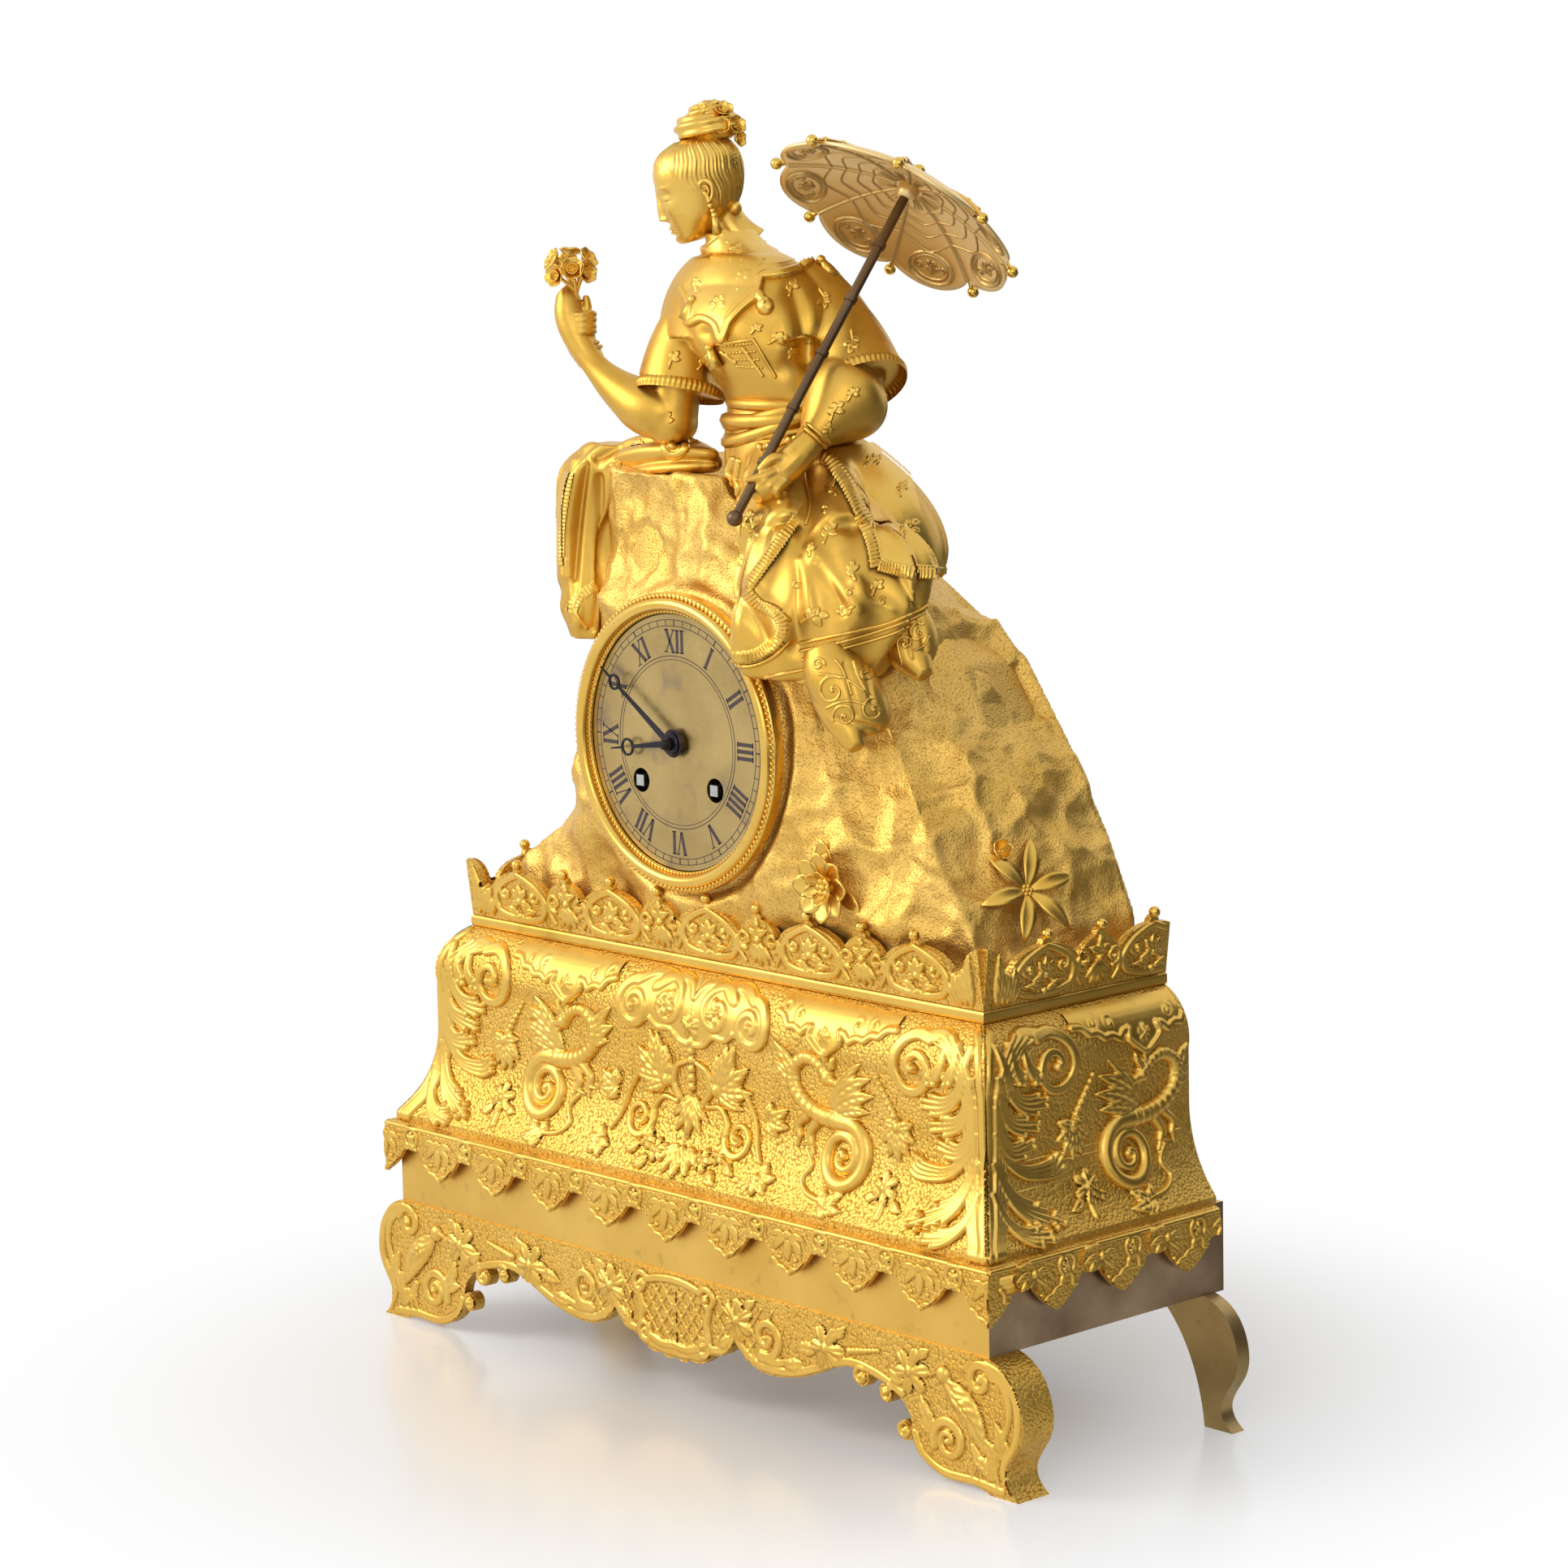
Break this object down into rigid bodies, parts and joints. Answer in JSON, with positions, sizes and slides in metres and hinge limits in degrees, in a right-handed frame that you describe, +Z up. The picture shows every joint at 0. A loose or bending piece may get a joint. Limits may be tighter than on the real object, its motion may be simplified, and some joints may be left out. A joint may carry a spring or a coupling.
{
  "type": "clock.mantel.figural",
  "caption": "Gilt-bronze figural mantel clock: a seated lady with a parasol on a rock that holds the round dial, on a moulded pedestal with crested gallery and scrolled apron.",
  "frame": {"origin": "On the floor under the middle of the whole object's box, feet at z = 0.", "axes": "+Z up, +X to the right of a viewer who faces the dial, -Y towards that viewer."},
  "size_m": [0.3186, 0.1128, 0.4239],
  "materials": {
    "gilt_bronze": "mat gilding, burnished on the high places",
    "patinated_bronze": "dark brown patina, rubbed to bronze at the edges",
    "movement_brass": "fine-turned, slightly dulled",
    "blued_steel": "blued and polished",
    "bell_metal": "turned pale bell bronze"
  },
  "bodies": {
    "case": {"plinth_box": "patinated_bronze", "tie_bolts": "blued_steel", "front_apron": "gilt_bronze", "rear_foot_right": "gilt_bronze", "rear_foot_left": "gilt_bronze", "lambrequin_border": "gilt_bronze", "pedestal_body": "gilt_bronze", "top_plate": "gilt_bronze", "gallery": "gilt_bronze", "rock": "gilt_bronze", "rock_flowers": "gilt_bronze", "bezel": "gilt_bronze", "dial_plate": "movement_brass", "front_plate": "movement_brass", "back_plate": "movement_brass", "movement_band": "movement_brass", "back_cock": "movement_brass", "bell": "bell_metal", "bell_stand": "movement_brass", "back_ring": "movement_brass", "door_pin": "blued_steel", "figure_skirt": "gilt_bronze", "figure_torso": "gilt_bronze", "shawl": "gilt_bronze", "figure_head": "gilt_bronze", "topknot": "gilt_bronze", "figure_left_arm": "gilt_bronze", "figure_right_arm": "gilt_bronze", "posy": "gilt_bronze", "slipper_left": "gilt_bronze", "slipper_right": "gilt_bronze", "parasol_shaft": "patinated_bronze", "parasol_canopy": "gilt_bronze", "parasol_finial": "gilt_bronze"},
    "minute": {"minute_hand": "blued_steel", "hand_collet": "movement_brass", "cannon_pinion": "blued_steel"},
    "hour": {"hour_hand": "blued_steel", "hour_wheel": "movement_brass"},
    "minute_wheel_turn": {"minute_wheel": "movement_brass"},
    "winder_left": {"winding_arbor_left": "blued_steel"},
    "winder_right": {"winding_arbor_right": "blued_steel"},
    "pendulum": {"pendulum_rod": "blued_steel", "pendulum_bob": "movement_brass"},
    "crutch_swing": {"crutch": "blued_steel"},
    "count": {"count_wheel": "movement_brass"},
    "striker": {"hammer": "blued_steel"},
    "door": {"back_door": "movement_brass"}
  },
  "joints": [
    {"name": "minute_spin", "type": "hinge", "parent": "case", "child": "minute", "pos_m": [-0.0095, -0.02948, 0.21588], "axis": [0, 1, 0], "continuous": true},
    {"name": "hour_spin", "type": "hinge", "parent": "case", "child": "hour", "pos_m": [-0.0095, -0.03148, 0.21588], "axis": [0, 1, 0], "continuous": true},
    {"name": "minute_wheel_spin", "type": "hinge", "parent": "case", "child": "minute_wheel_turn", "pos_m": [0.00033, -0.03047, 0.22276], "axis": [0, 1, 0], "continuous": true},
    {"name": "wind_left", "type": "hinge", "parent": "case", "child": "winder_left", "pos_m": [-0.0277, -0.02848, 0.20188], "axis": [0, 1, 0], "range_deg": [0, 1440]},
    {"name": "wind_right", "type": "hinge", "parent": "case", "child": "winder_right", "pos_m": [0.0087, -0.02848, 0.20188], "axis": [0, 1, 0], "range_deg": [0, 1440]},
    {"name": "pendulum_swing", "type": "hinge", "parent": "case", "child": "pendulum", "pos_m": [-0.0095, 0.00673, 0.24738], "axis": [0, 1, 0], "range_deg": [-4, 4]},
    {"name": "crutch_turn", "type": "hinge", "parent": "case", "child": "crutch_swing", "pos_m": [-0.0095, -0.00208, 0.24738], "axis": [0, 1, 0], "range_deg": [-4, 4]},
    {"name": "count_spin", "type": "hinge", "parent": "case", "child": "count", "pos_m": [-0.0305, -0.00147, 0.20988], "axis": [0, 1, 0], "continuous": true},
    {"name": "hammer_lift", "type": "hinge", "parent": "case", "child": "striker", "pos_m": [-0.0405, 0.00653, 0.20188], "axis": [0, -1, 0], "range_deg": [0, 8]},
    {"name": "door_swing", "type": "hinge", "parent": "case", "child": "door", "pos_m": [0.0359, 0.04843, 0.21588], "axis": [0, 0, -1], "range_deg": [0, 110]}
  ],
  "couplings": [
    {"joint": "hour_spin", "follows": "minute_spin", "ratio": 0.083333},
    {"joint": "minute_wheel_spin", "follows": "minute_spin", "ratio": -0.33333},
    {"joint": "crutch_turn", "follows": "pendulum_swing", "ratio": 1}
  ]
}
